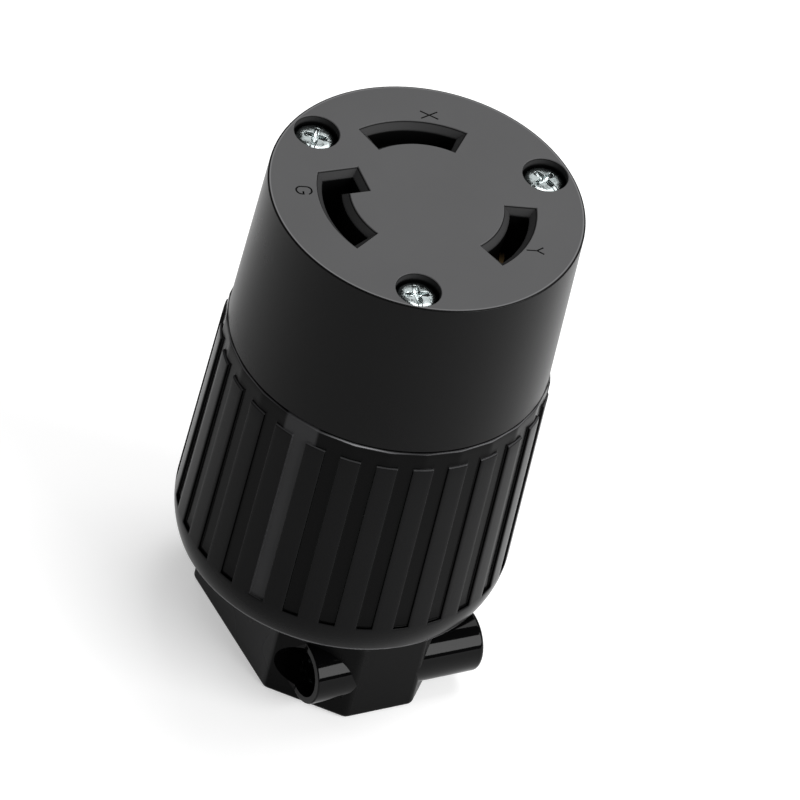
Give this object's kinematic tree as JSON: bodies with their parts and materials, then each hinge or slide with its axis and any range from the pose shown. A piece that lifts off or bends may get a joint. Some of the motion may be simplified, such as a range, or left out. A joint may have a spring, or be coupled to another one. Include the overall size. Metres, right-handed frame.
{
  "type": "locking power cord connector",
  "caption": "Black locking power connector for the end of a cord: three curved blade slots in a flat round face, a ribbed rear shell and an octagonal cord clamp neck.",
  "frame": {"origin": "middle of the rim of the cord neck, on the connector's axis", "axes": "+Z along the connector's axis to the slotted face, +X the way the cord clamp screws point, +Y across the neck's long side"},
  "size_m": [0.0542, 0.0542, 0.0923],
  "materials": {
    "black_nylon": "satin moulded nylon",
    "gloss_black_nylon": "glossy moulded nylon",
    "carrier_plastic": "matt moulded thermoset",
    "jaw_plastic": "satin moulded nylon",
    "contact_brass": "stamped",
    "plated_steel": "zinc plated",
    "terminal_brass": "turned",
    "ground_green": "green dyed plating",
    "screw_zinc": "bright zinc plate",
    "insert_brass": "knurled"
  },
  "bodies": {
    "connector": {"front_housing": "black_nylon", "rear_shell": "gloss_black_nylon", "contact_carrier": "carrier_plastic", "contact_x": "contact_brass", "terminal_screw_x": "terminal_brass", "contact_y": "contact_brass", "terminal_screw_y": "terminal_brass", "contact_ground": "contact_brass", "terminal_screw_ground": "ground_green", "assembly_screw_a": "screw_zinc", "assembly_insert_a": "insert_brass", "assembly_screw_b": "screw_zinc", "assembly_insert_b": "insert_brass", "assembly_screw_c": "screw_zinc", "assembly_insert_c": "insert_brass", "clamp_screw_front": "screw_zinc", "clamp_screw_back": "screw_zinc"},
    "cord_jaw": {"cord_clamp_jaw": "jaw_plastic", "clamp_insert_front": "insert_brass", "clamp_insert_back": "insert_brass"},
    "wire_clamp_x": {"clamp_plate_x": "plated_steel"},
    "wire_clamp_y": {"clamp_plate_y": "plated_steel"},
    "wire_clamp_ground": {"clamp_plate_ground": "plated_steel"}
  },
  "joints": [
    {"name": "cord_jaw_slide", "type": "slide", "parent": "connector", "child": "cord_jaw", "axis": [1, 0, 0], "range_m": [-0.0058, 0.002]},
    {"name": "wire_clamp_x_slide", "type": "slide", "parent": "connector", "child": "wire_clamp_x", "axis": [0.5, 0.866, 0], "range_m": [0, 0.003]},
    {"name": "wire_clamp_y_slide", "type": "slide", "parent": "connector", "child": "wire_clamp_y", "axis": [0.5, -0.866, 0], "range_m": [0, 0.003]},
    {"name": "wire_clamp_ground_slide", "type": "slide", "parent": "connector", "child": "wire_clamp_ground", "axis": [-1, 0, 0], "range_m": [0, 0.003]}
  ]
}
